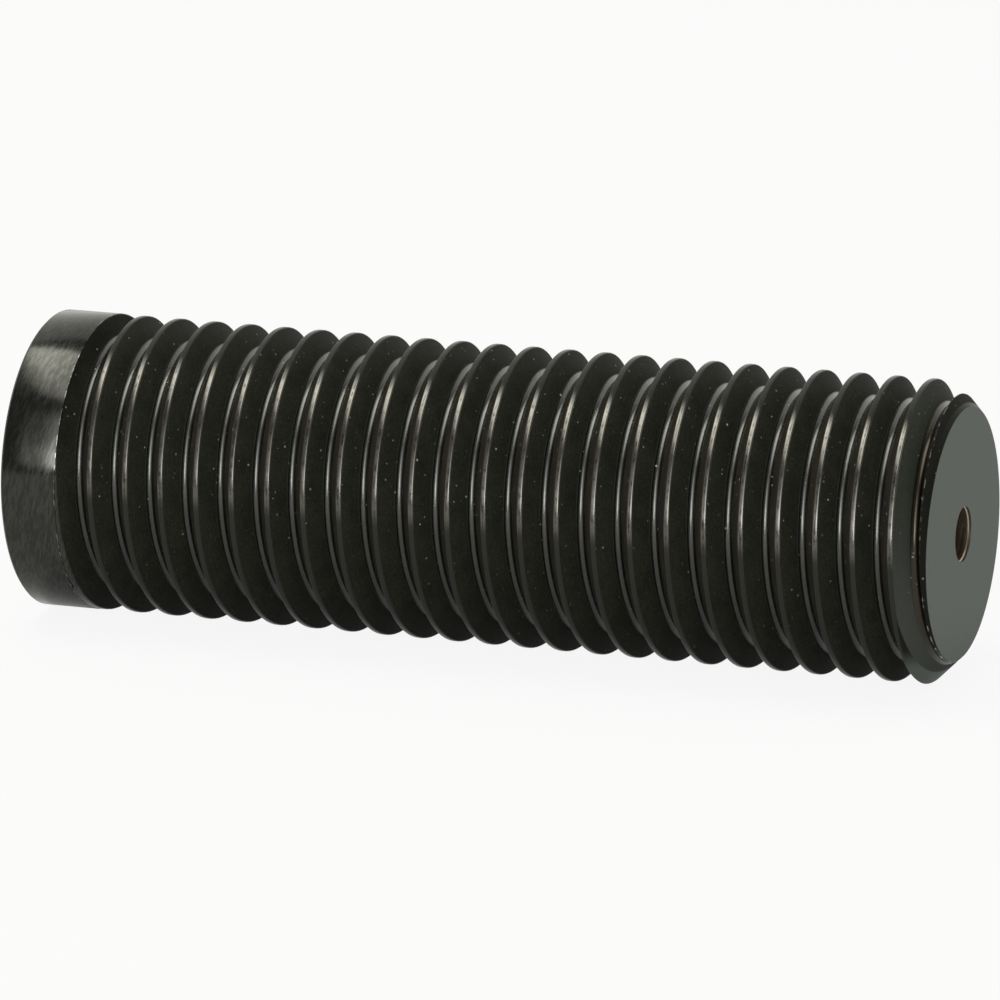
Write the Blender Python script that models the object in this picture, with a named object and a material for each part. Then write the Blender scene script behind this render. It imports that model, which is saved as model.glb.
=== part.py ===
# A black steel screw spindle with a coarse right-hand V thread, carried in a ball-bearing collar at its left end.
# X is the spindle's axis and +Z is up. The origin is the centre of the collar's outer face.
import math

import bmesh
import bpy
import numpy as np
from mathutils import Vector

MM = 0.001

# Spindle thread and free end
OVERALL_LENGTH = 76.0 * MM
THREAD_DIAMETER = 23.74 * MM
THREAD_PITCH = 3.0 * MM
FIRST_CREST = 6.17 * MM  # where the first full crest passes the +Y side
START_WALL = 0.5 * MM  # run of the wall in which the thread starts, from the crests down to the root
END_CHAMFER = 1.95 * MM
END_HOLE_DIAMETER = 4.4 * MM
END_HOLE_DEPTH = 16.0 * MM

# Spindle journal, inside the collar
JOURNAL_DIAMETER = 12.0 * MM
JOURNAL_RECESS = 0.2 * MM  # the journal's end lies this far inside the collar's outer face
JOURNAL_CHAMFER = 0.15 * MM
RING_LAND = 0.4 * MM  # journal left outside the retaining ring's groove
RING_GROOVE_DEPTH = 0.4 * MM
SOCKET_FLATS = 6.0 * MM
SOCKET_DEPTH = 7.0 * MM

# Collar, which is also the bearing's outer race
COLLAR_PROUD = 0.03 * MM  # the collar stands this far proud of the thread's crests
COLLAR_WIDTH = 4.68 * MM
COLLAR_EDGE = 0.25 * MM

# Balls, races, cage, seal and retaining ring
BALL_COUNT = 14
BALL_DIAMETER = 2.0 * MM
RACE_SHOULDER = 0.55 * MM  # each race's shoulder stands this far from the ball circle
POCKET_GAP = 0.1 * MM
CAGE_REACH = 0.9 * MM  # the cage's fingers pass the ball centres by this much
CAGE_RECESS = 0.2 * MM  # the cage's back lies this far inside the collar's inner face
SEAL_STEP = 0.6 * MM  # the seal's seat is wider than the collar's bore by this radius
SEAL_THICKNESS = 0.6 * MM
RING_THICKNESS = 0.6 * MM
RING_WIDTH = 1.5 * MM
RING_OPENING = math.radians(36)

# Clearances
FIT_GAP = 0.1 * MM  # between pieces that are fitted together
RUNNING_GAP = 0.05 * MM  # between a ball and its groove
SEAM_GAP = 0.15 * MM  # between the collar and the spindle's shoulder

# Metric thread proportions
FLANK_SLOPE = math.tan(math.radians(30))
THREAD_DEPTH = 0.6134 * THREAD_PITCH
CREST_WIDTH = THREAD_PITCH / 8
ROOT_WIDTH = THREAD_PITCH - CREST_WIDTH - 2 * THREAD_DEPTH * FLANK_SLOPE

# Facets of a full turn
THREAD_SEGMENTS = 32
TURNED_SEGMENTS = 48
HOLE_SEGMENTS = 16
GROOVE_POINTS = 7
BALL_SEGMENTS = 12
BALL_RINGS = 8
LEAST_STEP = 0.01 * MM  # no two points of the thread's outline lie nearer than this

# Radii worked out from the sizes above, from the axis outwards
crest_radius = THREAD_DIAMETER / 2
root_radius = crest_radius - THREAD_DEPTH
journal_radius = JOURNAL_DIAMETER / 2
collar_radius = crest_radius + COLLAR_PROUD
ball_radius = BALL_DIAMETER / 2
groove_radius = ball_radius + RUNNING_GAP
ball_circle_radius = (journal_radius + FIT_GAP + collar_radius) / 2
inner_shoulder_radius = ball_circle_radius - RACE_SHOULDER
outer_shoulder_radius = ball_circle_radius + RACE_SHOULDER
seal_seat_radius = outer_shoulder_radius + SEAL_STEP
ring_inner_radius = journal_radius - RING_GROOVE_DEPTH + FIT_GAP
ring_outer_radius = ring_inner_radius + RING_WIDTH

# Places along the axis, from the collar's outer face to the free end
ring_start = JOURNAL_RECESS + RING_LAND + FIT_GAP
race_start = ring_start + RING_THICKNESS + FIT_GAP
seal_end = race_start - FIT_GAP
shoulder_start = COLLAR_WIDTH + SEAM_GAP
race_end = shoulder_start - FIT_GAP
ball_row = (race_start + COLLAR_WIDTH) / 2


def clear_scene():
    for leftover in list(bpy.data.objects):
        bpy.data.objects.remove(leftover, do_unlink=True)


def material(name, colour, roughness, metallic):
    made = bpy.data.materials.new(name)
    made.use_nodes = True
    shader = made.node_tree.nodes["Principled BSDF"]
    shader.inputs["Base Color"].default_value = (*colour, 1.0)
    shader.inputs["Roughness"].default_value = roughness
    shader.inputs["Metallic"].default_value = metallic
    return made


def axis_empty(name):
    empty = bpy.data.objects.new(name, None)
    bpy.context.scene.collection.objects.link(empty)
    return empty


def add_object(name, mesh, finish=None, parent=None):
    piece = bpy.data.objects.new(name, mesh)
    bpy.context.scene.collection.objects.link(piece)
    piece.parent = parent
    if finish and not mesh.materials:
        mesh.materials.append(finish)
    return piece


def to_mesh(name, shape):
    bmesh.ops.remove_doubles(shape, verts=shape.verts, dist=1e-7)
    bmesh.ops.recalc_face_normals(shape, faces=shape.faces)
    mesh = bpy.data.meshes.new(name)
    shape.to_mesh(mesh)
    shape.free()
    mesh.shade_smooth()
    mesh.set_sharp_from_angle(angle=math.radians(30))
    return mesh


def turned_mesh(name, profile, segments, closed):
    # Spins a profile of (place along X, radius) points once round the X axis.
    shape = bmesh.new()
    points = [shape.verts.new((along, radius, 0.0)) for along, radius in profile]
    ends = points[1:] + points[:1] if closed else points[1:]
    edges = [shape.edges.new(pair) for pair in zip(points, ends)]
    bmesh.ops.spin(
        shape,
        geom=points + edges,
        cent=(0, 0, 0),
        axis=(1, 0, 0),
        angle=math.tau,
        steps=segments,
        use_merge=True,
    )
    return to_mesh(name, shape)


def cut_with(piece, cutter):
    cutter.hide_render = True
    cutter.display_type = "WIRE"
    cut = piece.modifiers.new(cutter.name, "BOOLEAN")
    cut.operation = "DIFFERENCE"
    cut.solver = "EXACT"
    cut.object = cutter


def ball_groove(shoulder_radius, rising):
    # Arc of a race's groove, left to right, between the two places where it meets the shoulder.
    reach = math.acos(abs(shoulder_radius - ball_circle_radius) / groove_radius)
    side = 1 if rising else -1
    arc = []
    for step in range(GROOVE_POINTS):
        angle = reach * (2 * step / (GROOVE_POINTS - 1) - 1)
        along = ball_row + groove_radius * math.sin(angle)
        arc.append((along, ball_circle_radius + side * groove_radius * math.cos(angle)))
    return arc


def thread_outline(turn):
    # Points of the threaded length at one angle, a share of a full turn: the thread between its start wall and
    # the end chamfer, kept inside the turned blank.
    # The groove starts on the +Y side, beside the first full crest, and the bar is whole before it.
    flank = THREAD_DEPTH * FLANK_SLOPE
    last = math.ceil((OVERALL_LENGTH - FIRST_CREST) / THREAD_PITCH - turn) + 1
    corners = []
    for count in range(-1, last + 1):
        crest_start = FIRST_CREST + THREAD_PITCH * (turn + count) - CREST_WIDTH / 2
        crest_end = crest_start + CREST_WIDTH
        corners.append((crest_start, crest_radius))
        corners.append((crest_end, crest_radius))
        corners.append((crest_end + flank, root_radius))
        corners.append((crest_start + THREAD_PITCH - flank, root_radius))
    wall = [(shoulder_start, crest_radius), (shoulder_start + START_WALL, root_radius)]
    blank = [
        (shoulder_start, crest_radius),
        (OVERALL_LENGTH - END_CHAMFER, crest_radius),
        (OVERALL_LENGTH, crest_radius - END_CHAMFER),
    ]
    places = [along for along, _ in corners + wall + blank]
    places = sorted(along for along in places if shoulder_start <= along <= OVERALL_LENGTH)
    thread, wall, blank = (np.transpose(line) for line in (corners, wall, blank))
    places = sorted(places + crossings(places, thread, wall) + crossings(places, thread, blank))
    radii = np.maximum(np.interp(places, *thread), np.interp(places, *wall))
    radii = np.minimum(radii, np.interp(places, *blank))
    return without_spare_points(list(zip(places, radii.tolist())))


def crossings(places, line, other):
    # Places where two lines cross, each between two neighbours in a sorted list of places.
    spare = np.interp(places, *line) - np.interp(places, *other)
    found = []
    for index in np.flatnonzero(spare[:-1] * spare[1:] < 0):
        share = spare[index] / (spare[index] - spare[index + 1])
        found.append(float(places[index] + share * (places[index + 1] - places[index])))
    return found


def without_spare_points(points):
    # Leaves out points that crowd the one before or lie on a straight line.
    kept = [points[0]]
    for point, after in zip(points[1:], points[2:]):
        step = Vector(point) - Vector(kept[-1])
        onward = Vector(after) - Vector(point)
        crowded = step.length < LEAST_STEP or (Vector(points[-1]) - Vector(point)).length < LEAST_STEP
        if not crowded and abs(step.cross(onward)) > LEAST_STEP**2:
            kept.append(point)
    return kept + [points[-1]]


def stitch(shape, near, far):
    # Joins two rows of (vertex, place along the helix) with faces, each row taken in order.
    step, other = 0, 0
    while step < len(near) - 1 or other < len(far) - 1:
        ahead = near[step + 1][1] if step < len(near) - 1 else math.inf
        far_ahead = far[other + 1][1] if other < len(far) - 1 else math.inf
        corners = [far[other][0], near[step][0]]
        if ahead < far_ahead + LEAST_STEP:
            step += 1
            corners.append(near[step][0])
        if far_ahead < ahead + LEAST_STEP:
            other += 1
            corners.append(far[other][0])
        shape.faces.new(corners)


def in_order(verts):
    return [(vert, place) for place, vert in enumerate(verts)]


def prism_cutter(name, radius, sides, start, end):
    shape = bmesh.new()
    bmesh.ops.create_cone(
        shape, cap_ends=True, segments=sides, radius1=radius, radius2=radius, depth=end - start
    )
    cutter = add_object(name, to_mesh(name, shape))
    cutter.rotation_euler = (0, math.pi / 2, 0)
    cutter.location = ((start + end) / 2, 0, 0)
    return cutter


def screw_spindle(finish, parent):
    groove_start = ring_start - FIT_GAP
    groove_floor = journal_radius - RING_GROOVE_DEPTH
    hole_end = OVERALL_LENGTH - END_HOLE_DEPTH
    journal = [
        (JOURNAL_RECESS, journal_radius - JOURNAL_CHAMFER),
        (JOURNAL_RECESS + JOURNAL_CHAMFER, journal_radius),
        (groove_start, journal_radius),
        (groove_start, groove_floor),
        (race_start, groove_floor),
        (race_start, journal_radius),
        (shoulder_start, journal_radius),
    ]
    hole = [(OVERALL_LENGTH, END_HOLE_DIAMETER / 2), (hole_end, END_HOLE_DIAMETER / 2)]
    shape = bmesh.new()

    def row(points, turn):
        angle = math.tau * turn
        across = Vector((0, math.cos(angle), math.sin(angle)))
        return [shape.verts.new(Vector((along, 0, 0)) + radius * across) for along, radius in points]

    columns = []
    for segment in range(THREAD_SEGMENTS):
        turn = segment / THREAD_SEGMENTS
        outline = thread_outline(turn)
        columns.append((row(journal, turn), row(outline, turn), row(hole, turn)))
    for segment, near in enumerate(columns):
        far = columns[(segment + 1) % THREAD_SEGMENTS]
        climb = THREAD_PITCH / THREAD_SEGMENTS
        near_thread = [(vert, vert.co.x) for vert in near[1]]
        far_thread = [(vert, vert.co.x - climb) for vert in far[1]]
        stitch(shape, near_thread, far_thread)
        stitch(shape, in_order(near[0] + near[1][:1]), in_order(far[0] + far[1][:1]))
        stitch(shape, in_order(near[1][-1:] + near[2]), in_order(far[1][-1:] + far[2]))
    shape.faces.new([column[0][0] for column in columns])
    shape.faces.new([column[2][-1] for column in columns])
    spindle = add_object("screw_spindle", to_mesh("screw_spindle", shape), finish, parent)
    socket_radius = SOCKET_FLATS / 2 / math.cos(math.pi / 6)
    socket_end = JOURNAL_RECESS + SOCKET_DEPTH
    cut_with(spindle, prism_cutter("socket_cutter", socket_radius, 6, -SOCKET_DEPTH, socket_end))


def bearing_collar(finish):
    seat_end = seal_end + FIT_GAP
    profile = [
        (COLLAR_EDGE, collar_radius),
        (COLLAR_WIDTH, collar_radius),
        (COLLAR_WIDTH, outer_shoulder_radius),
        *reversed(ball_groove(outer_shoulder_radius, rising=True)),
        (seat_end, outer_shoulder_radius),
        (seat_end, seal_seat_radius),
        (0, seal_seat_radius),
        (0, collar_radius - COLLAR_EDGE),
    ]
    mesh = turned_mesh("bearing_collar", profile, TURNED_SEGMENTS, closed=True)
    add_object("bearing_collar", mesh, finish)


def inner_race(finish, parent):
    bore_radius = journal_radius + FIT_GAP
    profile = [
        (race_start, inner_shoulder_radius),
        *ball_groove(inner_shoulder_radius, rising=False),
        (race_end, inner_shoulder_radius),
        (race_end, bore_radius),
        (race_start, bore_radius),
    ]
    mesh = turned_mesh("inner_race", profile, TURNED_SEGMENTS, closed=True)
    add_object("inner_race", mesh, finish, parent)


def ball_place(index):
    angle = math.tau * index / BALL_COUNT
    across = ball_circle_radius * math.cos(angle)
    return Vector((ball_row, across, ball_circle_radius * math.sin(angle)))


def bearing_balls(finish, parent):
    shape = bmesh.new()
    bmesh.ops.create_uvsphere(
        shape, u_segments=BALL_SEGMENTS, v_segments=BALL_RINGS, radius=ball_radius
    )
    mesh = to_mesh("bearing_ball", shape)
    for index in range(BALL_COUNT):
        ball = add_object(f"bearing_ball_{index + 1:02d}", mesh, finish, parent)
        ball.location = ball_place(index)


def ball_cage(finish, parent):
    inner = inner_shoulder_radius + FIT_GAP
    outer = outer_shoulder_radius - FIT_GAP
    front = ball_row - CAGE_REACH
    back = COLLAR_WIDTH - CAGE_RECESS
    profile = [(front, outer), (back, outer), (back, inner), (front, inner)]
    mesh = turned_mesh("ball_cage", profile, TURNED_SEGMENTS, closed=True)
    cage = add_object("ball_cage", mesh, finish, parent)
    pockets = bmesh.new()
    for index in range(BALL_COUNT):
        made = bmesh.ops.create_cone(
            pockets,
            cap_ends=True,
            segments=HOLE_SEGMENTS,
            radius1=ball_radius + POCKET_GAP,
            radius2=ball_radius + POCKET_GAP,
            depth=BALL_DIAMETER,
        )
        place = ball_place(index)
        outwards = Vector((0, place.y, place.z)).to_track_quat("Z", "X").to_matrix()
        bmesh.ops.rotate(pockets, verts=made["verts"], cent=(0, 0, 0), matrix=outwards)
        bmesh.ops.translate(pockets, verts=made["verts"], vec=place)
    cut_with(cage, add_object("pocket_cutter", to_mesh("pocket_cutter", pockets)))


def end_seal(finish):
    inner = ring_outer_radius + 2 * FIT_GAP
    outer = seal_seat_radius - FIT_GAP
    start = seal_end - SEAL_THICKNESS
    profile = [(start, outer), (seal_end, outer), (seal_end, inner), (start, inner)]
    mesh = turned_mesh("end_seal", profile, TURNED_SEGMENTS, closed=True)
    add_object("end_seal", mesh, finish)


def retaining_ring(finish, parent):
    ring_end = ring_start + RING_THICKNESS
    corners = [
        (ring_start, ring_outer_radius),
        (ring_end, ring_outer_radius),
        (ring_end, ring_inner_radius),
        (ring_start, ring_inner_radius),
    ]
    shape = bmesh.new()
    section = shape.faces.new([shape.verts.new((along, radius, 0)) for along, radius in corners])
    bmesh.ops.spin(
        shape,
        geom=[section],
        cent=(0, 0, 0),
        axis=(1, 0, 0),
        angle=math.tau - RING_OPENING,
        steps=TURNED_SEGMENTS,
    )
    ring = add_object("retaining_ring", to_mesh("retaining_ring", shape), finish, parent)
    ring.rotation_euler = (RING_OPENING / 2 - math.pi / 2, 0, 0)


def main():
    clear_scene()
    black_oxide = material("black_oxide_steel", (0.028, 0.028, 0.026), 0.38, 1.0)
    turned_oxide = material("turned_black_oxide", (0.045, 0.044, 0.042), 0.3, 1.0)
    bearing_steel = material("bearing_steel", (0.55, 0.55, 0.54), 0.25, 1.0)
    ball_steel = material("ball_steel", (0.6, 0.6, 0.6), 0.08, 1.0)
    cage_resin = material("cage_resin", (0.55, 0.5, 0.38), 0.5, 0.0)
    seal_rubber = material("seal_rubber", (0.02, 0.02, 0.02), 0.6, 0.0)
    spring_steel = material("spring_steel", (0.09, 0.085, 0.08), 0.4, 1.0)
    spindle_axis = axis_empty("spindle_axis")
    ball_set_axis = axis_empty("ball_set_axis")
    bearing_collar(turned_oxide)
    end_seal(seal_rubber)
    screw_spindle(black_oxide, spindle_axis)
    inner_race(bearing_steel, spindle_axis)
    retaining_ring(spring_steel, spindle_axis)
    bearing_balls(ball_steel, ball_set_axis)
    ball_cage(cage_resin, ball_set_axis)


main()
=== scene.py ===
# Black steel screw spindle in its bearing collar: the finished look of each piece, the light and the camera.
import math

import bmesh
import bpy
from mathutils import Matrix, Vector


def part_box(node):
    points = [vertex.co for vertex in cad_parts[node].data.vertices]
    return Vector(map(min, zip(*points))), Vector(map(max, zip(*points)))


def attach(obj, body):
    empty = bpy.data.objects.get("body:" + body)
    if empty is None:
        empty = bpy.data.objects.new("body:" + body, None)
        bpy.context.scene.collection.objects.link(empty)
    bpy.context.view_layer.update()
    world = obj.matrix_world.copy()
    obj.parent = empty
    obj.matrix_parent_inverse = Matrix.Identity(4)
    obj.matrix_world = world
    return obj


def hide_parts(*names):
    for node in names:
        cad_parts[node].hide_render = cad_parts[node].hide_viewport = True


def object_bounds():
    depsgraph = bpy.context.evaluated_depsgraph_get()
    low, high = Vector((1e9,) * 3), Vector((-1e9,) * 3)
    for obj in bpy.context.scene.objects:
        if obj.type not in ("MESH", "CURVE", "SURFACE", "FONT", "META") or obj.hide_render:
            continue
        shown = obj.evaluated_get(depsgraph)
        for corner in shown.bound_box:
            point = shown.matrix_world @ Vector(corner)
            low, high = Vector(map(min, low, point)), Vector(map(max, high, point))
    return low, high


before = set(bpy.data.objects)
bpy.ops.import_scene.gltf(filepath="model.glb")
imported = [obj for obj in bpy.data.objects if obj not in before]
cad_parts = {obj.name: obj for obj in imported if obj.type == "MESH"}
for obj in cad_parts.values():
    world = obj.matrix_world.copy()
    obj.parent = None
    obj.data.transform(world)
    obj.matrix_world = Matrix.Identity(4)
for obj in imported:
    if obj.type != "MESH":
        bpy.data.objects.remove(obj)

cadBox = [list(corner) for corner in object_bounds()]
mm = 0.001
weld = 0.5e-6
fineWeld = 0.2e-6  # small enough for the narrow faces that the cuts leave
spindleLow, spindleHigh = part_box("screw_spindle")
collarLow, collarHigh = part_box("bearing_collar")
sealLow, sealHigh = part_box("end_seal")
ringLow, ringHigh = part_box("retaining_ring")
raceLow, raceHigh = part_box("inner_race")
cageLow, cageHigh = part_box("ball_cage")
ballNames = sorted(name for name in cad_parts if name.startswith("bearing_ball_"))
ballLow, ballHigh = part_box(ballNames[0])  # this one lies on the +Y side
print("frame loaded:", len(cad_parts), "nodes")


# Modelling helpers
def editOnly(piece):
    if bpy.context.object and bpy.context.object.mode != "OBJECT":
        bpy.ops.object.mode_set(mode="OBJECT")
    bpy.ops.object.select_all(action="DESELECT")
    piece.select_set(True)
    bpy.context.view_layer.objects.active = piece
    bpy.ops.object.mode_set(mode="EDIT")
    bpy.ops.mesh.select_mode(type="VERT")
    bpy.ops.mesh.select_all(action="SELECT")


def selectWhere(piece, wanted):  # in edit mode: selects the vertices that a test on their place accepts
    bpy.ops.mesh.select_all(action="DESELECT")
    shape = bmesh.from_edit_mesh(piece.data)
    for vert in shape.verts:
        vert.select = wanted(vert)
    shape.select_flush_mode()
    bmesh.update_edit_mesh(piece.data)


def applyAll(piece):
    bpy.ops.object.mode_set(mode="OBJECT")
    for modifier in list(piece.modifiers):
        bpy.ops.object.modifier_apply(modifier=modifier.name)


def drawLine(name, points):  # one vertex, extruded from point to point of (place along the axis, radius)
    if bpy.context.object and bpy.context.object.mode != "OBJECT":
        bpy.ops.object.mode_set(mode="OBJECT")
    bpy.ops.object.select_all(action="DESELECT")
    bpy.ops.mesh.primitive_plane_add(size=mm, location=(0, 0, 0))
    piece = bpy.context.object
    piece.name = name
    piece.data.name = name
    editOnly(piece)
    bpy.ops.mesh.merge(type="CENTER")
    bpy.ops.transform.translate(value=(*points[0], 0))
    for last, point in zip(points, points[1:]):
        step = (point[0] - last[0], point[1] - last[1], 0)
        bpy.ops.mesh.extrude_region_move(TRANSFORM_OT_translate={"value": step})
    bpy.ops.mesh.select_all(action="SELECT")
    bpy.ops.mesh.remove_doubles(threshold=weld)
    return piece


def tidySkin():  # in edit mode: welds the seam and turns every face outwards
    bpy.ops.mesh.select_all(action="SELECT")
    bpy.ops.mesh.remove_doubles(threshold=weld)
    bpy.ops.mesh.normals_make_consistent(inside=False)


def turnLine(name, points, steps, angle=math.tau):
    piece = drawLine(name, points)
    bpy.ops.mesh.spin(steps=steps, angle=angle, center=(0, 0, 0), axis=(1, 0, 0))
    tidySkin()
    return piece


def roundEdges(piece, width, segments=2, sharpest=30):
    bpy.ops.object.mode_set(mode="OBJECT")
    bevel = piece.modifiers.new("edges", "BEVEL")
    bevel.width = width
    bevel.segments = segments
    bevel.limit_method = "ANGLE"
    bevel.angle_limit = math.radians(sharpest)
    bevel.harden_normals = False
    applyAll(piece)


def combine(piece, tool, operation):
    editOnly(piece)
    bpy.ops.object.mode_set(mode="OBJECT")
    cut = piece.modifiers.new(tool.name, "BOOLEAN")
    cut.operation = operation
    cut.solver = "EXACT"
    cut.object = tool
    applyAll(piece)
    bpy.data.objects.remove(tool, do_unlink=True)


def smooth(piece, angle=30):
    editOnly(piece)
    bpy.ops.object.mode_set(mode="OBJECT")
    bpy.ops.object.shade_smooth_by_angle(angle=math.radians(angle))


def seat(piece, finish, node, body):
    piece.data.materials.clear()
    piece.data.materials.append(finish)
    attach(piece, body)
    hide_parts(node)
    piece.data.calc_loop_triangles()
    print("made", piece.name, "with", len(piece.data.loop_triangles), "triangles")


def arc(centre, radius, start, end, count):  # points of (along, radius) on an arc, angles from +X in degrees
    points = []
    for index in range(count + 1):
        angle = math.radians(start + (end - start) * index / count)
        points.append((centre[0] + radius * math.cos(angle), centre[1] + radius * math.sin(angle)))
    return points


# Shader maths
class Link:  # a socket that takes part in sums as a number does
    def __init__(self, finish, socket):
        self.finish = finish
        self.socket = socket

    def __add__(self, other):
        return self.finish.maths("ADD", self, other)

    def __radd__(self, other):
        return self.finish.maths("ADD", other, self)

    def __sub__(self, other):
        return self.finish.maths("SUBTRACT", self, other)

    def __rsub__(self, other):
        return self.finish.maths("SUBTRACT", other, self)

    def __mul__(self, other):
        return self.finish.maths("MULTIPLY", self, other)

    def __rmul__(self, other):
        return self.finish.maths("MULTIPLY", other, self)

    def __truediv__(self, other):
        return self.finish.maths("DIVIDE", self, other)

    def __abs__(self):
        return self.finish.maths("ABSOLUTE", self)


class Tree:  # a node tree in the making
    def __init__(self, tree):
        self.tree = tree

    def node(self, kind, settings, sockets, output=0):
        made = self.tree.nodes.new(kind)
        for name, value in settings.items():
            setattr(made, name, value)
        for name, value in sockets.items():
            if isinstance(value, Link):
                self.tree.links.new(value.socket, made.inputs[name])
            else:
                made.inputs[name].default_value = value
        return Link(self, made.outputs[output])

    def parts(self, vector):  # the three numbers of a vector
        apart = self.node("ShaderNodeSeparateXYZ", {}, {0: vector}).socket.node
        return [Link(self, socket) for socket in apart.outputs]

    def maths(self, operation, *values):
        return self.node("ShaderNodeMath", {"operation": operation}, dict(enumerate(values)))

    def rise(self, value, low, high):  # 0 below low, 1 above high, smooth between
        return self.node(
            "ShaderNodeMapRange",
            {"interpolation_type": "SMOOTHSTEP"},
            {"Value": value, "From Min": low, "From Max": high},
        )

    def curve(self, value, stops):  # straight lines between stops of (place, height)
        ramp = self.node("ShaderNodeValToRGB", {}, {0: value})
        elements = ramp.socket.node.color_ramp.elements
        while len(elements) < len(stops):
            elements.new(1.0)
        for element, (place, height) in zip(elements, stops):
            element.position = place
            element.color = rgb(height, height, height)
        return ramp

    def vector(self, x, y, z):
        return self.node("ShaderNodeCombineXYZ", {}, {0: x, 1: y, 2: z})

    def noise(self, place, scale, detail=2.0, rough=0.5):
        sockets = {"Vector": place, "Scale": scale, "Detail": detail, "Roughness": rough}
        return self.node("ShaderNodeTexNoise", {}, sockets)

    def blend(self, factor, first, second):  # colours
        return self.node("ShaderNodeMix", {"data_type": "RGBA"}, {0: factor, 6: first, 7: second}, 2)

    def level(self, factor, first, second):  # values
        return self.node("ShaderNodeMix", {}, {0: factor, 2: first, 3: second})

    def bump(self, height, strength, distance):
        sockets = {"Height": height, "Strength": strength, "Distance": distance}
        return self.node("ShaderNodeBump", {}, sockets)


class Finish(Tree):  # a material in the making, with places in millimetres
    def __init__(self, name):
        self.material = bpy.data.materials.new(name)
        self.material.use_nodes = True
        super().__init__(self.material.node_tree)
        self.shader = self.tree.nodes["Principled BSDF"]
        place = self.node("ShaderNodeTexCoord", {}, {}, "Object")
        scale = {0: place, "Scale": 1 / mm}
        self.place = self.node("ShaderNodeVectorMath", {"operation": "SCALE"}, scale)
        self.along, self.y, self.z = self.parts(self.place)
        self.radius = self.maths("SQRT", self.y * self.y + self.z * self.z)

    def streaks(self, across, fine, stretch):  # noise drawn out round the axis, fine along the first value
        return self.noise(self.vector(across * fine, self.y * stretch, self.z * stretch), 1.0, 3.0)

    def finishWith(self, **inputs):
        for name, value in inputs.items():
            socket = self.shader.inputs[name.replace("_", " ")]
            if isinstance(value, Link):
                self.tree.links.new(value.socket, socket)
            else:
                socket.default_value = value
        return self.material


def rgb(red, green, blue):
    return (red, green, blue, 1.0)


# Camera, from the photo's viewing angle
cameraSet = {
    "azimuth": 19.675,
    "elevation": 13.868,
    "distance": 682.73 * mm,
    "lens": 305.4,
    "sensor": 36.0,
    "nearest": 10.0 * mm,
    "aimRight": 35.629 * mm,  # what the view centres on, from the origin
    "aimUp": -3.49 * mm,
}


def makeCamera(look):
    azimuth = math.radians(look["azimuth"])
    elevation = math.radians(look["elevation"])
    right = Vector((math.cos(azimuth), math.sin(azimuth), 0))
    level = math.cos(elevation)
    back = Vector((math.sin(azimuth) * level, -math.cos(azimuth) * level, math.sin(elevation)))
    up = back.cross(right)
    place = right * look["aimRight"] + up * look["aimUp"] + back * look["distance"]
    bpy.ops.object.camera_add()
    camera = bpy.context.object
    camera.name = "photoCamera"
    turned = Matrix((right, up, back)).transposed()
    camera.matrix_world = Matrix.Translation(place) @ turned.to_4x4()
    camera.data.lens = look["lens"]
    camera.data.sensor_width = look["sensor"]
    camera.data.clip_start = look["nearest"]
    bpy.context.scene.camera = camera


# Floor, world and lamps
studio = {
    "floorSize": 12.0,
    "floorDrop": 0.05 * mm,  # the part rests this far above the floor
    "floorColour": rgb(0.62, 0.62, 0.60),
    "floorSeen": 0.9,  # share of plain white that the camera sees in the floor
    "floorMirrored": 0.35,  # and the share that the metal mirrors
    "surround": rgb(1.0, 1.0, 0.94),
    "front": 0.26,  # strength of the surround in front and above
    "back": 1.0,  # and of the white backdrop
    "backdropEdge": 0.45,  # cosine of the angle over the back horizon at which the backdrop ends
    "backdropFade": 0.03,  # it fades this far to either side
    "softboxes": [  # low and high are angles from the front horizon, and lean slants the upward stops
        {"name": "overheadBox", "low": 64, "high": 104, "reach": 0.6,
         "width": 0.7, "left": 0.216, "twist": -20, "glow": 5.4, "tint": (1.0, 1.0, 0.93), "lean": 1.2,
         "up": [(0, 0.02), (0.13, 0.09), (0.31, 0.44), (0.52, 0.88), (0.69, 1), (1, 1)],
         "right": [(0, 1), (0.5, 1), (0.75, 0.55), (1, 0.5)]},
        {"name": "frontBox", "low": 6, "high": 48, "reach": 0.8,
         "width": 0.6, "left": 0.05, "twist": 0, "glow": 8.0, "tint": (0.97, 1.0, 0.98), "lean": 0.0,
         "up": [(0, 1), (0.2, 1), (0.45, 0.42), (1, 0.12)],
         "right": [(0, 0.16), (0.38, 0.18), (0.46, 0.52), (0.54, 1), (1, 1)]},
    ],
}


def makeFloor(look):
    bpy.ops.object.select_all(action="DESELECT")
    bpy.ops.mesh.primitive_plane_add(size=look["floorSize"])
    floor = bpy.context.object
    floor.name = "studioFloor"
    bpy.ops.transform.translate(value=(0, 0, cadBox[0][2] - look["floorDrop"]))
    paint = Finish("pale floor")
    rays = paint.node("ShaderNodeLightPath", {}, {}).socket.node.outputs
    seen = Link(paint, rays["Is Camera Ray"])
    mirrored = Link(paint, rays["Is Glossy Ray"]) + Link(paint, rays["Is Transmission Ray"])
    shown = seen * look["floorSeen"] + mirrored * look["floorMirrored"]
    paint.finishWith(Base_Color=look["floorColour"], Roughness=0.9)
    white = paint.node("ShaderNodeEmission", {}, {"Color": rgb(1, 1, 1), "Strength": 1.0})
    lit = Link(paint, paint.shader.outputs[0])
    both = paint.node("ShaderNodeMixShader", {}, {0: shown, 1: lit, 2: white})
    paint.tree.links.new(both.socket, paint.tree.nodes["Material Output"].inputs["Surface"])
    floor.data.materials.append(paint.material)


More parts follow.
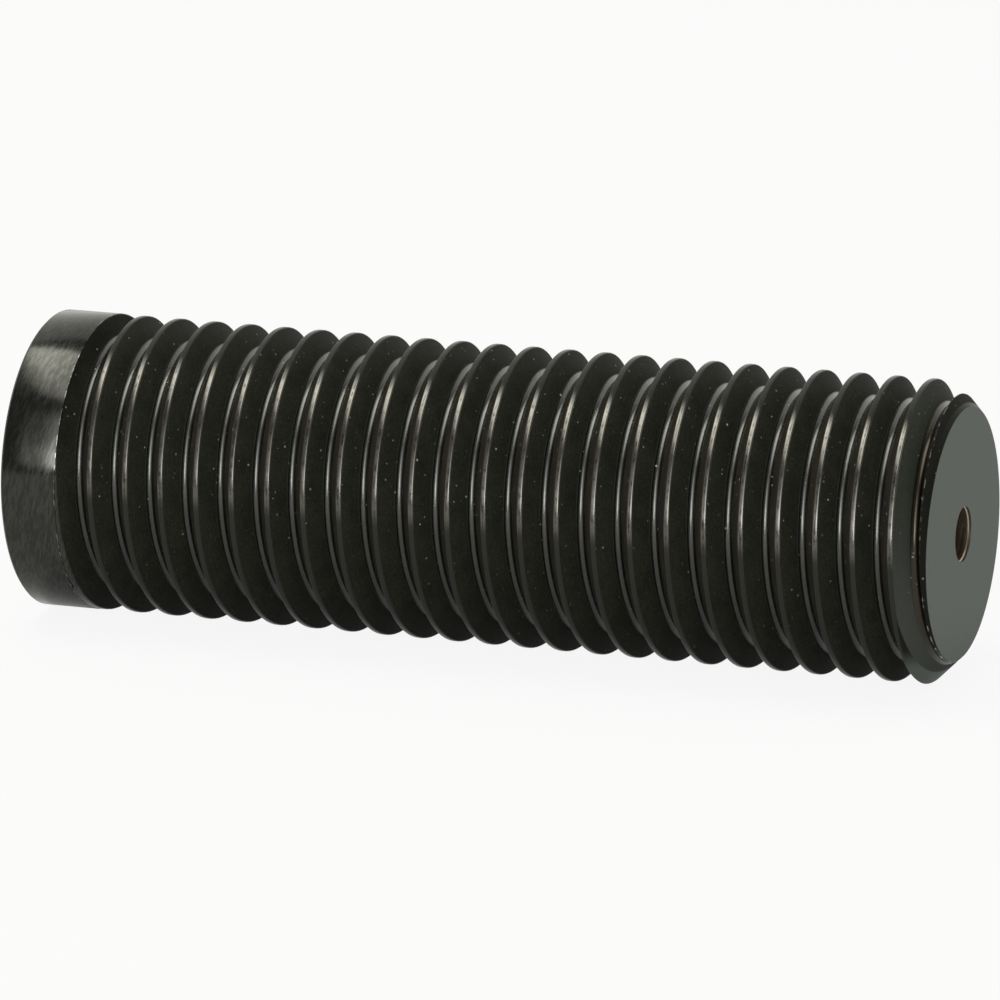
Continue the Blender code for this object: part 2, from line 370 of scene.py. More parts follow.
def makeWorld(look):
    world = bpy.data.worlds.new("studioWorld")
    world.use_nodes = True
    bpy.context.scene.world = world
    sky = Tree(world.node_tree)
    x, y, z = sky.parts(sky.node("ShaderNodeTexCoord", {}, {}, "Generated"))
    edge = look["backdropEdge"]
    fade = look["backdropFade"]
    behind = sky.rise(y / sky.maths("SQRT", y * y + z * z), edge - fade, edge + fade)
    surround = sky.level(behind, look["front"], look["back"])
    ground = sky.node("ShaderNodeBackground", {}, {"Color": look["surround"], "Strength": surround})
    backdrop = sky.node("ShaderNodeBackground", {}, {"Color": rgb(1, 1, 1)})
    seen = sky.node("ShaderNodeLightPath", {}, {}, "Is Camera Ray")
    both = sky.node("ShaderNodeMixShader", {}, {0: seen, 1: ground, 2: backdrop})
    sky.tree.links.new(both.socket, sky.tree.nodes["World Output"].inputs["Surface"])


def makeSoftbox(box):
    low = math.radians(box["low"])
    high = math.radians(box["high"])
    middle = (low + high) / 2
    towards = Vector((0, -math.cos(middle), math.sin(middle)))
    across = Vector((1, 0, 0))
    place = towards * box["reach"] - across * box["left"]
    deep = 2 * box["reach"] * math.tan((high - low) / 2)
    bpy.ops.object.light_add(type="AREA", location=place)
    lamp = bpy.context.object
    lamp.name = box["name"]
    lamp.rotation_mode = "QUATERNION"
    turned = Matrix((across, towards.cross(across), towards)).transposed()
    twist = Matrix.Rotation(math.radians(box["twist"]), 3, "Z")
    lamp.rotation_quaternion = (turned @ twist).to_quaternion()
    lamp.data.shape = "RECTANGLE"
    lamp.data.size = box["width"]
    lamp.data.size_y = deep
    lamp.data.energy = box["glow"] * math.pi * box["width"] * deep
    lamp.data.color = box["tint"]
    lamp.data.use_nodes = True
    cloth = Tree(lamp.data.node_tree)
    sideways, upwards = cloth.parts(cloth.node("ShaderNodeNewGeometry", {}, {}, "Parametric"))[:2]
    leaning = upwards + (sideways - 0.5) * box["lean"]
    brightness = cloth.curve(sideways, box["right"]) * cloth.curve(leaning, box["up"])
    cloth.tree.links.new(brightness.socket, cloth.tree.nodes["Emission"].inputs["Strength"])
    lamp.visible_camera = False


# Spindle: a helix of one thread outline, kept inside a turned bar
spindleSet = {
    "pitch": 3.0 * mm,
    "firstCrest": 6.17 * mm,  # where the first full crest passes the +Y side
    "depth": 1.84 * mm,
    "flankAngle": 30,  # from the plane across the axis
    "crestWidth": 0.375 * mm,
    "crestRound": 0.09 * mm,
    "rootRound": 0.433 * mm,
    "chamfer": 1.95 * mm,
    "turnSteps": 96,
    "barSteps": 192,
    "spare": 0.7 * mm,  # the bar is turned this much over the crests, so that only the helix shapes them
    "seam": 0.015 * mm,  # between the collar and the thread's start
    "startWall": 0.3 * mm,  # run of the wall in which the thread starts, from the crests down to the root
    "startEase": 0.004 * mm,  # the wall's edge lies this far before the seam
    "lipRadius": 9.8 * mm,  # only outside this radius does the bar come so close to the collar
    "fit": 0.1 * mm,
    "journalRadius": 6.0 * mm,
    "journalChamfer": 0.15 * mm,
    "ringFloor": 5.6 * mm,
    "socketFlats": 6.0 * mm,
    "socketDepth": 7.0 * mm,
    "socketTip": 1.2 * mm,
    "socketTipShare": 0.3,  # width that is left at the bottom of the tip
    "socketEase": 0.12 * mm,  # the countersink is wider than the socket's corners by this
    "sinkSteps": 96,
    "holeRadius": 2.2 * mm,
    "holeDepth": 16.0 * mm,
    "drillAngle": 59,  # half of the drill's tip
    "drillSteps": 64,
    "tapPitch": 0.8 * mm,
    "tapRadius": 2.42 * mm,
    "tapCore": 2.12 * mm,
    "tapDepth": 12.0 * mm,
    "tapStart": 0.2 * mm,
    "tapOverlap": 0.05 * mm,  # the tap reaches this far inside the drilled wall
    "tapFlat": 0.03 * mm,  # half of the flat in the tapped groove
    "tapSteps": 48,
}


def threadSolid(name, outline, pitch, turns, steps):
    piece = drawLine(name, outline)
    bpy.ops.object.mode_set(mode="OBJECT")
    screw = piece.modifiers.new("helix", "SCREW")
    screw.axis = "X"
    screw.angle = math.tau
    screw.screw_offset = pitch
    screw.iterations = turns
    screw.steps = steps
    screw.render_steps = steps
    applyAll(piece)
    editOnly(piece)
    bpy.ops.mesh.remove_doubles(threshold=weld)
    middle = outline[0][0] + pitch * turns / 2
    for side in (-1, 1):  # each open end is drawn in to a point
        selectWhere(piece, lambda vert: vert.is_boundary and side * (vert.co.x - middle) > 0)
        bpy.ops.mesh.extrude_region_move()
        bpy.ops.mesh.merge(type="CENTER")
    tidySkin()
    bpy.ops.object.mode_set(mode="OBJECT")
    return piece


def threadOutline(look, crestRadius, start):
    rootRadius = crestRadius - look["depth"]
    flank = look["flankAngle"]
    halfCrest = look["crestWidth"] / 2
    middle = start + look["pitch"] / 2
    roundCrest = look["crestRound"]
    drawnIn = roundCrest * math.tan(math.radians((90 - flank) / 2))
    rootCentre = rootRadius + look["rootRound"]
    leftCorner = (middle - halfCrest + drawnIn, crestRadius - roundCrest)
    rightCorner = (middle + halfCrest - drawnIn, crestRadius - roundCrest)
    points = arc((start, rootCentre), look["rootRound"], -90, -flank, 5)
    points += arc(leftCorner, roundCrest, 180 - flank, 90, 3)
    points += arc(rightCorner, roundCrest, 90, flank, 3)
    points += arc((start + look["pitch"], rootCentre), look["rootRound"], flank - 180, -90, 5)
    return points


def fillStart(piece, look, outline):  # the groove starts on the +Y side, and the bar is whole before it
    crestRadius = spindleHigh.y
    pitch = look["pitch"]

    def beforeStart(vert):
        turn = math.atan2(vert.co.z, vert.co.y) / math.tau % 1.0
        if turn > 1 - 0.1 / look["turnSteps"]:  # a full turn counts as none
            turn = 0.0
        return vert.co.x < look["firstCrest"] - pitch + pitch * turn - weld

    editOnly(piece)
    for radius in sorted({round(point[1], 8) for point in outline}):
        selectWhere(piece, lambda vert: beforeStart(vert) and abs(vert.co.yz.length - radius) < weld)
        grow = crestRadius / radius
        bpy.ops.transform.resize(value=(1, grow, grow), center_override=(0, 0, 0))
    bpy.ops.object.mode_set(mode="OBJECT")


def makeSpindle(look, finish):
    crestRadius = spindleHigh.y
    end = spindleHigh.x
    pitch = look["pitch"]
    start = look["firstCrest"] - 3.5 * pitch
    turns = math.ceil((end - start) / pitch) + 2
    outline = threadOutline(look, crestRadius, start)
    piece = threadSolid("threaded_spindle", outline, pitch, turns, look["turnSteps"])
    fillStart(piece, look, outline)

    spare = look["spare"]
    threadStart = collarHigh.x + look["seam"]
    edge = threadStart - look["startEase"]
    lean = look["startWall"] / look["depth"]
    wall = [
        (edge - mm, 0),
        (edge - mm, crestRadius + spare),
        (edge - spare * lean, crestRadius + spare),
        (edge + (look["depth"] + spare) * lean, crestRadius - look["depth"] - spare),
        (edge + (look["depth"] + spare) * lean, 0),
    ]
    combine(piece, turnLine("startWall", wall, look["barSteps"]), "UNION")

    shoulder = raceHigh.x + look["fit"]
    slope = math.tan(math.radians(30))  # of the tapped flanks and of the countersink
    grooveStart = ringLow.x - look["fit"]
    grooveEnd = ringHigh.x + look["fit"]
    journal = look["journalRadius"]
    journalEnd = spindleLow.x
    bar = [
        (journalEnd, 0),
        (journalEnd, journal - look["journalChamfer"]),
        (journalEnd + look["journalChamfer"], journal),
        (grooveStart, journal),
        (grooveStart, look["ringFloor"]),
        (grooveEnd, look["ringFloor"]),
        (grooveEnd, journal),
        (shoulder, journal),
        (shoulder, look["lipRadius"]),
        (threadStart, look["lipRadius"]),
        (threadStart, crestRadius + spare),
        (end - look["chamfer"] - spare, crestRadius + spare),
        (end, crestRadius - look["chamfer"]),
        (end, 0),
    ]
    blank = turnLine("bar", bar, look["barSteps"])
    bpy.ops.object.mode_set(mode="OBJECT")
    combine(piece, blank, "INTERSECT")

    core = look["tapCore"]
    mouth = look["holeRadius"]
    tip = core / math.tan(math.radians(look["drillAngle"]))
    drill = [
        (end + mm, 0),
        (end + mm, mouth),
        (end - look["tapStart"], mouth),
        (end - look["tapStart"] - (mouth - core), core),
        (end - look["holeDepth"], core),
        (end - look["holeDepth"] - tip, 0),
    ]
    combine(piece, turnLine("drill", drill, look["drillSteps"]), "DIFFERENCE")

    tapStart = end - look["tapStart"]
    deep = look["tapRadius"] - core + look["tapOverlap"]
    ridge = deep * slope
    flat = look["tapFlat"]
    tapPitch = look["tapPitch"]
    base = core - look["tapOverlap"]
    tapTurns = round(look["tapDepth"] / tapPitch)
    first = tapStart - tapTurns * tapPitch
    groove = first + tapPitch / 2
    tapLine = [
        (first, base),
        (groove - ridge - flat, base),
        (groove - flat, base + deep),
        (groove + flat, base + deep),
        (groove + ridge + flat, base),
        (first + tapPitch, base),
    ]
    tap = threadSolid("tap", tapLine, tapPitch, tapTurns - 1, look["tapSteps"])
    combine(piece, tap, "DIFFERENCE")

    bpy.ops.object.select_all(action="DESELECT")
    corner = look["socketFlats"] / 2 / math.cos(math.pi / 6)
    bpy.ops.mesh.primitive_cylinder_add(vertices=6, radius=corner, depth=2 * look["socketDepth"])
    key = bpy.context.object
    key.name = "hexKey"
    editOnly(key)
    selectWhere(key, lambda vert: vert.co.z > 0)
    bpy.ops.mesh.extrude_region_move(TRANSFORM_OT_translate={"value": (0, 0, look["socketTip"])})
    bpy.ops.transform.resize(value=(look["socketTipShare"], look["socketTipShare"], 1))
    bpy.ops.object.mode_set(mode="OBJECT")
    key.rotation_euler = (0, math.pi / 2, 0)
    key.location = (journalEnd, 0, 0)
    bpy.ops.object.transform_apply(location=True, rotation=True, scale=True)
    combine(piece, key, "DIFFERENCE")
    mouthRadius = corner + look["socketEase"]
    ease = look["socketEase"] + corner - look["socketFlats"] / 2
    countersink = [
        (journalEnd - ease, 0),
        (journalEnd - ease, mouthRadius + ease / slope),
        (journalEnd + (mouthRadius - ease) * slope, ease),
        (journalEnd + (mouthRadius - ease) * slope, 0),
    ]
    combine(piece, turnLine("countersink", countersink, look["sinkSteps"]), "DIFFERENCE")
    editOnly(piece)
    bpy.ops.mesh.remove_doubles(threshold=fineWeld)
    smooth(piece, 35)
    seat(piece, finish, "screw_spindle", "spindle")


spindleLook = {
    "flank": rgb(0.0225, 0.0240, 0.0178),
    "brownFlank": rgb(0.0250, 0.0218, 0.0160),  # facing left, and in patches
    "paintedLitLastFlank": rgb(0.062, 0.068, 0.060),  # painted light: the flank of the last turn, which no neighbouring crest shades, painted as pale as the end face
    "chamfer": rgb(0.012, 0.0125, 0.0095),
    "flankRough": 0.62,
    "crest": rgb(0.038, 0.038, 0.034),
    "wornAndLit": rgb(0.140, 0.133, 0.120),  # bare steel where handling has rubbed the oxide off the crests, painted only in the band of heights where the crests catch the overhead light: part wear, part painted highlight
    "wornLitFrom": 0.5,  # height over the axis, in mm
    "wornLitTo": 9.6,
    "crestRough": 0.20,
    "topShadeFrom": 9.6,  # the crests lose their metal between these heights, in mm: painted shade on the tops
    "topShadeTo": 11.0,
    "topShadeShare": 0.85,
    "root": rgb(0.115, 0.116, 0.108),
    "shadedLowRoot": rgb(0.075, 0.076, 0.070),  # painted shade: the root is painted darker on the lower side
    "rootRough": 0.26,
    "lastRoot": rgb(0.050, 0.042, 0.032),
    "bareEdgeHighlight": rgb(0.30, 0.285, 0.26),  # painted highlight on the edge where the chamfer cuts the thread, broken in places like bare rubbed steel
    "face": rgb(0.112, 0.130, 0.116),
    "faceRough": 0.32,
    "bore": rgb(0.40, 0.335, 0.265),
    "boreRough": 0.27,
    "boreZone": 2.5,  # radius that takes in the end hole and its thread, in mm
    "boreReach": 20.0,  # and how far from the end face
    "oxideIndex": 1.12,  # refractive index of the matt oxide
    "startEnd": 6.1,  # the bar is as brushed as the collar up to here, in mm
    "dust": rgb(0.50, 0.49, 0.46),
    "dustCells": 1.8,  # one speck, at most, in a cell of 1 / 1.8 mm
    "dustSize": 0.13,  # widest speck, in mm
    "dustShare": 0.6,
}


def spindleFinish(look):  # black oxide, rubbed bright on the crests in part and painted with highlights there, with painted light and shade on the crest tops, the root, the last turn and the chamfer, and with dust in the thread
    paint = Finish("black oxide thread")
    crestRadius = spindleHigh.y / mm
    rootRadius = crestRadius - spindleSet["depth"] / mm
    end = spindleHigh.x / mm
    pitch = spindleSet["pitch"] / mm
    halfCrest = spindleSet["crestWidth"] / 2 / mm
    turn = paint.maths("ARCTAN2", paint.z, paint.y) / math.tau
    count = (paint.along - spindleSet["firstCrest"] / mm) / pitch - turn
    offCrest = (paint.maths("FRACT", count + 0.5) - 0.5) * pitch  # in mm, left or right of the nearest crest
    onThread = paint.rise(paint.along, collarHigh.x / mm, collarHigh.x / mm + 0.05)
    onCrest = paint.rise(paint.radius, crestRadius - 0.10, crestRadius - 0.05) * onThread
    onRoot = (1 - paint.rise(paint.radius, rootRadius + 0.12, rootRadius + 0.27)) * onThread
    onFace = paint.rise(paint.along, end - 0.03, end - 0.01)
    slant = paint.radius + paint.along - (crestRadius + end - spindleSet["chamfer"] / mm)
    onChamfer = paint.rise(slant, -0.05, -0.02)
    nearAxis = 1 - paint.rise(paint.radius, look["boreZone"], look["boreZone"] + 0.1)
    boreEnd = end - look["boreReach"]
    inBore = nearAxis * paint.rise(paint.along, boreEnd, boreEnd + 1) * (1 - onFace)
    offThread = 1 - paint.rise(paint.radius, rootRadius - 0.5, rootRadius - 0.2)
    onStart = 1 - paint.rise(paint.along, look["startEnd"] - 0.1, look["startEnd"] + 0.1)
    bare = (1 - onFace) * (1 - onChamfer) * (1 - inBore) * (1 - offThread)

    turned = paint.streaks(paint.along, 9.0, 0.12)  # rings left by the lathe
    cutMarks = paint.streaks(paint.radius, 14.0, 0.15)  # marks that the threading tool left on the flanks
    mottle = paint.noise(paint.place, 0.5, 4.0)
    flecks = paint.noise(paint.place, 2.2, 3.0)
    edges = paint.rise(abs(offCrest), 0.05, 0.13)
    height = paint.z
    # The crests are painted rubbed bright only in a band of heights, where the overhead light falls on them:
    # part wear, part painted highlight
    inReach = paint.rise(height, look["wornLitFrom"] - 1, look["wornLitFrom"] + 1)
    inReach = inReach * (1 - paint.rise(height, look["wornLitTo"] - 0.6, look["wornLitTo"] + 0.6))
    rubbedAndLit = inReach * paint.rise(turned * 0.5 + flecks * 0.5 + edges * 0.15, 0.36, 0.56)
    brushed, brushedColour, brushedRough = brushedOxide(paint, collarLook)
    grain = paint.noise(paint.place, 5.0, 3.0)
    shade = paint.level(mottle, 0.55, 1.45) * paint.level(cutMarks, 0.8, 1.2) * paint.level(grain, 0.4, 1.6)
    facesRight = paint.rise(offCrest, -0.1, 0.1)
    patches = paint.rise(mottle, 0.60, 0.80)
    flank = paint.blend(facesRight * (1 - patches), look["brownFlank"], look["flank"])
    colour = paint.node("ShaderNodeVectorMath", {"operation": "SCALE"}, {0: flank, "Scale": shade})
    # Painted light: the last turn's right-facing flank is painted pale, most on the lower side, where the
    # floor's light reaches it
    lastTurn = paint.rise(paint.along + height * 0.07, end - 3.6, end - 2.8)
    paintedLitLastFlank = lastTurn * facesRight * paint.level(paint.rise(height, -6.0, 8.0), 1.0, 0.25)
    colour = paint.blend(paintedLitLastFlank, colour, look["paintedLitLastFlank"])
    # Painted shade: the root is painted darker below the axis than above it
    root = paint.blend(paint.rise(height, -2.0, 2.0), look["shadedLowRoot"], look["root"])
    root = paint.blend(paint.rise(paint.along, end - 3.2, end - 2.4), root, look["lastRoot"])
    crest = paint.blend(rubbedAndLit, look["crest"], look["wornAndLit"])
    colour = paint.blend(onRoot * bare * paint.level(flecks, 0.6, 1.0), colour, root)
    colour = paint.blend(onCrest * bare, colour, paint.blend(onStart, crest, brushedColour))
    steepness = math.tan(math.radians(90 - spindleSet["flankAngle"]))
    cutAway = crestRadius - (abs(offCrest) - halfCrest) * steepness - paint.radius
    # Painted highlight on the sharp edge where the chamfer cuts the thread, broken in places like bare
    # rubbed steel
    onEdgeHighlight = onChamfer * (1 - onFace) * (1 - facesRight) * (1 - paint.rise(cutAway, 0.06, 0.16))
    onEdgeHighlight = onEdgeHighlight * paint.rise(paint.noise(paint.place, 1.8, 4.0), 0.48, 0.64)
    paintedLitLow = 1 - paint.rise(height, -9.5, -7.0)  # painted light: the chamfer's lower part is painted as pale as the face
    colour = paint.blend(onChamfer, colour, paint.blend(paintedLitLow, look["chamfer"], look["face"]))
    colour = paint.blend(onEdgeHighlight, colour, look["bareEdgeHighlight"])
    colour = paint.blend(onFace, colour, look["face"])
    colour = paint.blend(inBore, colour, look["bore"])
    rough = look["flankRough"] + (mottle - 0.5) * 0.12 + (cutMarks - 0.5) * 0.10
    rough = paint.level(onRoot, rough, look["rootRough"])
    rough = paint.level(onCrest, rough, paint.level(onStart, look["crestRough"], brushedRough))
    rough = paint.level(paint.maths("MAXIMUM", onFace, onChamfer * paintedLitLow), rough, look["faceRough"])
    rough = paint.level(inBore, rough, look["boreRough"])

    cells = {"Vector": paint.place, "Scale": look["dustCells"]}
    speck = paint.node("ShaderNodeTexVoronoi", {"feature": "F1"}, cells)
    chance, size, glow = paint.parts(Link(paint, speck.socket.node.outputs["Color"]))
    reach = (0.35 + 0.65 * size * size) * look["dustSize"] * look["dustCells"]
    kept = paint.rise(chance, 1 - look["dustShare"], 1.01 - look["dustShare"])
    settled = paint.rise(height, -6.0, 6.0)  # most of it lies on the upper side
    dust = (1 - paint.rise(speck / reach, 0.5, 1.0)) * kept * paint.level(glow * glow, 0.05, 1.0)
    dust = dust * paint.level(settled, 0.25, 1.0) * onThread
    dust = dust * (1 - onFace) * (1 - onCrest) * (1 - inBore)
    colour = paint.blend(dust, colour, look["dust"])
    rough = paint.level(dust, rough, 0.9)
    # Painted shade: the crests lose most of their metal towards the top, so that they show darker there
    topShade = paint.rise(height, look["topShadeFrom"], look["topShadeTo"]) * (1 - onStart) * look["topShadeShare"]
    metal = paint.maths("MAXIMUM", onRoot, onCrest * (1 - topShade)) * bare + inBore * 0.85 + onEdgeHighlight * 0.7
    metal = metal * (1 - dust)

    marks = paint.level(onCrest, cutMarks, paint.level(onStart, turned, brushed))
    rings = paint.streaks(paint.radius, 6.0, 0.05)
    marks = paint.level(paint.rise(onFace + offThread, 0.1, 0.9), marks, rings)
    relief = paint.bump(marks, 0.35, 0.01 * mm)
    return paint.finishWith(
        Base_Color=colour, Roughness=rough, Metallic=metal, Normal=relief, IOR=look["oxideIndex"]
    )


# Collar, which is the bearing's outer race
collarSet = {
    "edge": 0.25 * mm,  # bevel of the outer rim
    "edgeBreak": 0.02 * mm,
    "fit": 0.1 * mm,
    "ballGap": 0.05 * mm,
    "grooveSteps": 24,
    "steps": 192,
}


def raceGroove(look, shoulderRadius, rising):  # arc of a ball groove, left to right
    ball = (ballHigh.x - ballLow.x) / 2
    centre = ((ballHigh.x + ballLow.x) / 2, (ballHigh.y + ballLow.y) / 2)
    radius = ball + look["ballGap"]
    reach = math.degrees(math.acos(abs(shoulderRadius - centre[1]) / radius))
    middle = 90 if rising else -90
    turn = reach if rising else -reach
    return arc(centre, radius, middle + turn, middle - turn, look["grooveSteps"])


def makeCollar(look, finish):
    radius = collarHigh.y
    width = collarHigh.x
    bore = cageHigh.y + look["fit"]
    seatEnd = sealHigh.x + look["fit"]
    seatRadius = sealHigh.y + look["fit"]
    line = [
        (look["edge"], radius),
        (width, radius),
        (width, bore),
        *reversed(raceGroove(look, bore, True)),
        (seatEnd, bore),
        (seatEnd, seatRadius),
        (0, seatRadius),
        (0, radius - look["edge"]),
        (look["edge"], radius),
    ]
    piece = turnLine("turned_collar", line, look["steps"])
    roundEdges(piece, look["edgeBreak"])
    smooth(piece, 35)
    seat(piece, finish, "bearing_collar", "collar")


collarLook = {
    "base": rgb(0.041, 0.041, 0.037),
    "bright": rgb(0.064, 0.064, 0.059),
    "rim": rgb(0.018, 0.018, 0.018),
    "edge": rgb(0.20, 0.20, 0.19),  # bare steel rubbed through in places, painted bright to give the edge its highlight
    "rough": 0.17,
    "groove": rgb(0.50, 0.50, 0.49),  # the ball groove is ground bright
    "rimEnd": 0.24,  # the rim ends here along the axis, in mm
    "insideZone": 10.1,  # radius of what lies inside the collar's wall, in mm
    "slant": 0.25,  # of the scratches
}


def brushedOxide(paint, look):  # short, slightly slanting scratches round the axis
    slanted = paint.along - paint.z * look["slant"]
    fine = paint.streaks(slanted, 7.0, 1.3)
    broad = paint.streaks(slanted, 2.0, 0.5)
    mottle = paint.noise(paint.place, 0.6, 3.0)
    brushed = fine * 0.7 + broad * 0.3
    colour = paint.blend(paint.rise(brushed, 0.42, 0.62), look["base"], look["bright"])
    return brushed, colour, look["rough"] + (brushed - 0.5) * 0.16 + (mottle - 0.5) * 0.05


def collarFinish(look):  # black oxide over a brushed cylinder
    paint = Finish("brushed black oxide")
    brushed, colour, rough = brushedOxide(paint, look)
    onRim = 1 - paint.rise(paint.along, look["rimEnd"], look["rimEnd"] + 0.08)
    inside = 1 - paint.rise(paint.radius, look["insideZone"], look["insideZone"] + 0.1)
    ground = inside * paint.rise(paint.along, sealHigh.x / mm + 0.15, sealHigh.x / mm + 0.2)
    # Painted highlight along the collar's right-hand edge, broken in places like bare rubbed steel
    edge = paint.rise(paint.along, collarHigh.x / mm - 0.09, collarHigh.x / mm - 0.05)
    edge = edge * paint.rise(paint.noise(paint.place, 1.5, 3.0), 0.45, 0.60) * (1 - inside)
    colour = paint.blend(onRim, colour, look["rim"])
    colour = paint.blend(edge, colour, look["edge"])
    colour = paint.blend(ground, colour, look["groove"])
    rings = paint.streaks(paint.radius, 6.0, 0.05)
    marks = paint.level(onRim, brushed, rings)
    relief = paint.bump(marks, 0.3, 0.006 * mm)
    return paint.finishWith(Base_Color=colour, Roughness=rough + onRim * 0.2, Metallic=1.0, Normal=relief)


# Inner race
raceSet = {
    "fit": 0.1 * mm,
    "ballGap": 0.05 * mm,
    "grooveSteps": 24,
    "edgeBreak": 0.06 * mm,
    "journalRadius": spindleSet["journalRadius"],
    "steps": 160,
}


def makeRace(look, finish):
    shoulder = raceHigh.y
    bore = look["journalRadius"] + look["fit"]
    line = [
        (raceLow.x, shoulder),
        *raceGroove(look, shoulder, False),
        (raceHigh.x, shoulder),
        (raceHigh.x, bore),
        (raceLow.x, bore),
        (raceLow.x, shoulder),
    ]
    piece = turnLine("ground_inner_race", line, look["steps"])
    roundEdges(piece, look["edgeBreak"])
    smooth(piece, 35)
    seat(piece, finish, "inner_race", "spindle")


raceLook = {"dark": rgb(0.46, 0.46, 0.46), "light": rgb(0.60, 0.60, 0.59), "rough": 0.24}


def raceFinish(look):  # ground bearing steel
    paint = Finish("ground bearing steel")
    grain = paint.streaks(paint.along, 22.0, 0.2)
    faceGrain = paint.streaks(paint.radius, 16.0, 0.1)
    marks = grain * 0.5 + faceGrain * 0.5
    colour = paint.blend(paint.rise(marks, 0.4, 0.6), look["dark"], look["light"])
    rough = look["rough"] + (marks - 0.5) * 0.25
    relief = paint.bump(marks, 0.25, 0.004 * mm)
    return paint.finishWith(Base_Color=colour, Roughness=rough, Metallic=1.0, Normal=relief)


# Balls: one is shaped from a cube, and the others are copies
ballSet = {"cuts": 15}


def makeBalls(look, finish):
    radius = (ballHigh.x - ballLow.x) / 2
    bpy.ops.object.select_all(action="DESELECT")
    bpy.ops.mesh.primitive_cube_add(size=2 * radius)
    first = bpy.context.object
    editOnly(first)
    bpy.ops.mesh.subdivide(number_cuts=look["cuts"])
    bpy.ops.object.mode_set(mode="OBJECT")
    swell = first.modifiers.new("ball", "CAST")
    swell.factor = 1.0
    swell.size = radius
    swell.use_radius_as_size = False
    applyAll(first)
    bpy.ops.object.shade_smooth()
    for name in ballNames:
        low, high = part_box(name)
        ball = first.copy()
        ball.data = first.data.copy()
        ball.name = name.replace("bearing", "polished")
        ball.data.name = ball.name
        bpy.context.scene.collection.objects.link(ball)
        ball.data.transform(Matrix.Translation((low + high) / 2))
        seat(ball, finish, name, "ball_set")
    bpy.data.objects.remove(first, do_unlink=True)


ballLook = {"steel": rgb(0.62, 0.62, 0.62), "oiled": rgb(0.52, 0.51, 0.48), "rough": 0.06}


def ballFinish(look):  # polished steel with a film of oil
    paint = Finish("polished ball steel")
    film = paint.noise(paint.place, 1.6, 3.0)
    oil = paint.rise(film, 0.45, 0.65)
    colour = paint.blend(oil, look["steel"], look["oiled"])
    rough = look["rough"] + oil * 0.06
    return paint.finishWith(Base_Color=colour, Roughness=rough, Metallic=1.0)


# Cage: a turned ring with a pocket for each ball, open to the left
cageSet = {"fit": 0.1 * mm, "pocketGap": 0.1 * mm, "edgeRound": 0.08 * mm, "steps": 168, "pocketSides": 48}


def makeCage(look, finish):
    inner = raceHigh.y + look["fit"]
    corners = [(cageLow.x, cageHigh.y), (cageHigh.x, cageHigh.y), (cageHigh.x, inner), (cageLow.x, inner)]
    piece = turnLine("moulded_cage", corners + corners[:1], look["steps"])
    radius = (ballHigh.x - ballLow.x) / 2
    for name in ballNames:
        low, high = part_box(name)
        middle = (low + high) / 2
        outwards = Vector((0, middle.y, middle.z))
        bpy.ops.object.mode_set(mode="OBJECT")
        bpy.ops.object.select_all(action="DESELECT")
        bpy.ops.mesh.primitive_cylinder_add(
            vertices=look["pocketSides"],
            radius=radius + look["pocketGap"],
            depth=4 * radius,
            location=middle,
            rotation=outwards.to_track_quat("Z", "X").to_euler(),
        )
        pocket = bpy.context.object
        bpy.ops.object.transform_apply(location=True, rotation=True, scale=True)
        combine(piece, pocket, "DIFFERENCE")
    roundEdges(piece, look["edgeRound"])
    smooth(piece, 40)
    seat(piece, finish, "ball_cage", "ball_set")


cageLook = {"pale": rgb(0.60, 0.55, 0.42), "deep": rgb(0.50, 0.44, 0.32), "rough": 0.45}


def cageFinish(look):  # natural resin, with the matt skin of a mould
    paint = Finish("moulded cage resin")
    cloud = paint.noise(paint.place, 0.9, 4.0)
    skin = paint.noise(paint.place, 16.0, 2.0)
    colour = paint.blend(paint.rise(cloud, 0.35, 0.65), look["deep"], look["pale"])
    rough = look["rough"] + (skin - 0.5) * 0.2
    return paint.finishWith(Base_Color=colour, Roughness=rough, Normal=paint.bump(skin, 0.2, 0.01 * mm))


# End seal: a rubber ring with a rounded outer bead, two ridges and a thin lip
sealSet = {
    "inner": 7.4 * mm,
    "round": 0.1 * mm,
    "ridges": (8.3 * mm, 9.2 * mm),
    "ridgeRound": 0.16 * mm,
    "lip": 0.25 * mm,
    "steps": 160,
}


def makeSeal(look, finish):
    front = sealLow.x
    back = sealHigh.x
    outer = sealHigh.y
    inner = look["inner"]
    ease = look["round"]
    face = front + look["ridgeRound"]
    line = [(back, inner)]
    line += arc((face + ease, inner + ease), ease, -90, -180, 4)
    for ridge in look["ridges"]:
        line += arc((face, ridge), look["ridgeRound"], -90, -270, 10)
    line += arc((front + ease, outer - 3 * ease), ease, -180, -180, 1)
    line += arc((front + ease, outer - ease), ease, 180, 90, 4)
    line += arc((back - ease, outer - ease), ease, 90, 0, 4)
    line += [(back, inner + look["lip"]), (back, inner)]
    piece = turnLine("rubber_end_seal", line, look["steps"])
    smooth(piece, 40)
    seat(piece, finish, "end_seal", "collar")


sealLook = {"black": rgb(0.016, 0.016, 0.016), "grey": rgb(0.032, 0.031, 0.030), "rough": 0.55}


def sealFinish(look):  # moulded rubber, a little bloomed
    paint = Finish("moulded seal rubber")
    bloom = paint.noise(paint.place, 0.8, 4.0)
    grain = paint.noise(paint.place, 14.0, 2.0)
    colour = paint.blend(paint.rise(bloom, 0.45, 0.7), look["black"], look["grey"])
    rough = look["rough"] + (grain - 0.5) * 0.2
    return paint.finishWith(Base_Color=colour, Roughness=rough, Normal=paint.bump(grain, 0.3, 0.01 * mm))


# Retaining ring: an open ring with rounded edges, its gap at the bottom
ringSet = {"inner": 5.7 * mm, "round": 0.08 * mm, "opening": 36, "steps": 150}


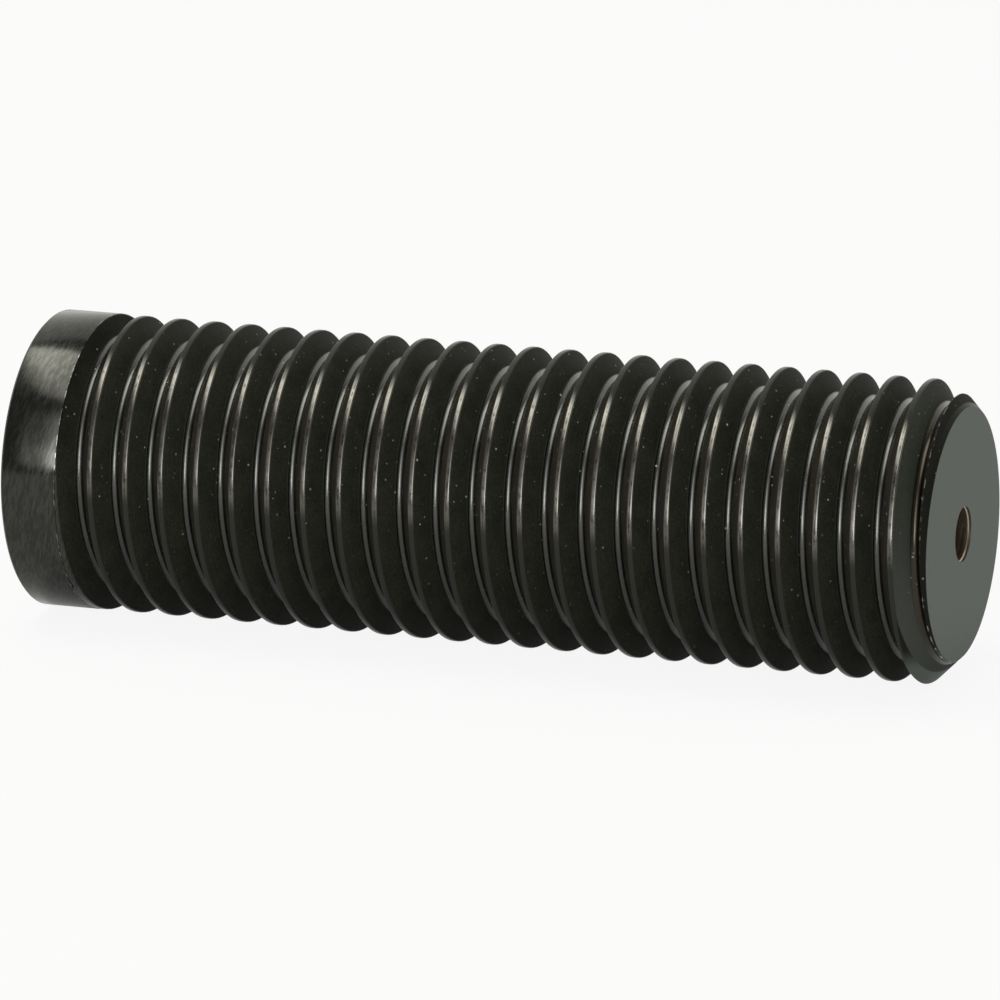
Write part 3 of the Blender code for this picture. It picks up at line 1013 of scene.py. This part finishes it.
def makeRing(look, finish):
    low, high = ringLow.x, ringHigh.x
    inner, outer = look["inner"], ringHigh.y
    corner = look["round"]
    line = arc((high - corner, outer - corner), corner, 0, 90, 3)
    line += arc((low + corner, outer - corner), corner, 90, 180, 3)
    line += arc((low + corner, inner + corner), corner, 180, 270, 3)
    line += arc((high - corner, inner + corner), corner, 270, 360, 3)
    piece = drawLine("spring_retaining_ring", line + line[:1])
    sweep = math.tau - math.radians(look["opening"])
    bpy.ops.mesh.spin(steps=look["steps"], angle=sweep, center=(0, 0, 0), axis=(1, 0, 0))
    for start in (True, False):  # closes the two cut ends
        selectWhere(piece, lambda vert: vert.is_boundary and (abs(vert.co.z) < weld) == start)
        bpy.ops.mesh.edge_face_add()
    tidySkin()
    middle = sum((vert.co for vert in bmesh.from_edit_mesh(piece.data).verts), Vector())
    bpy.ops.object.mode_set(mode="OBJECT")
    leaning = math.atan2(middle.z, middle.y)
    piece.data.transform(Matrix.Rotation(math.pi / 2 - leaning, 4, "X"))
    roundEdges(piece, look["round"])
    smooth(piece, 35)
    seat(piece, finish, "retaining_ring", "spindle")


ringLook = {"dark": rgb(0.065, 0.062, 0.058), "light": rgb(0.115, 0.108, 0.10), "rough": 0.40}


def ringFinish(look):  # phosphated spring steel
    paint = Finish("phosphated spring steel")
    grain = paint.noise(paint.place, 9.0, 4.0)
    colour = paint.blend(paint.rise(grain, 0.35, 0.65), look["dark"], look["light"])
    rough = look["rough"] + (grain - 0.5) * 0.3
    relief = paint.bump(grain, 0.3, 0.008 * mm)
    return paint.finishWith(Base_Color=colour, Roughness=rough, Metallic=1.0, Normal=relief)


bpy.context.scene.view_settings.view_transform = "Standard"
makeCamera(cameraSet)
makeFloor(studio)
makeWorld(studio)
for softbox in studio["softboxes"]:
    makeSoftbox(softbox)
print("studio made")
makeSpindle(spindleSet, spindleFinish(spindleLook))
makeCollar(collarSet, collarFinish(collarLook))
makeRace(raceSet, raceFinish(raceLook))
makeBalls(ballSet, ballFinish(ballLook))
makeCage(cageSet, cageFinish(cageLook))
makeSeal(sealSet, sealFinish(sealLook))
makeRing(ringSet, ringFinish(ringLook))
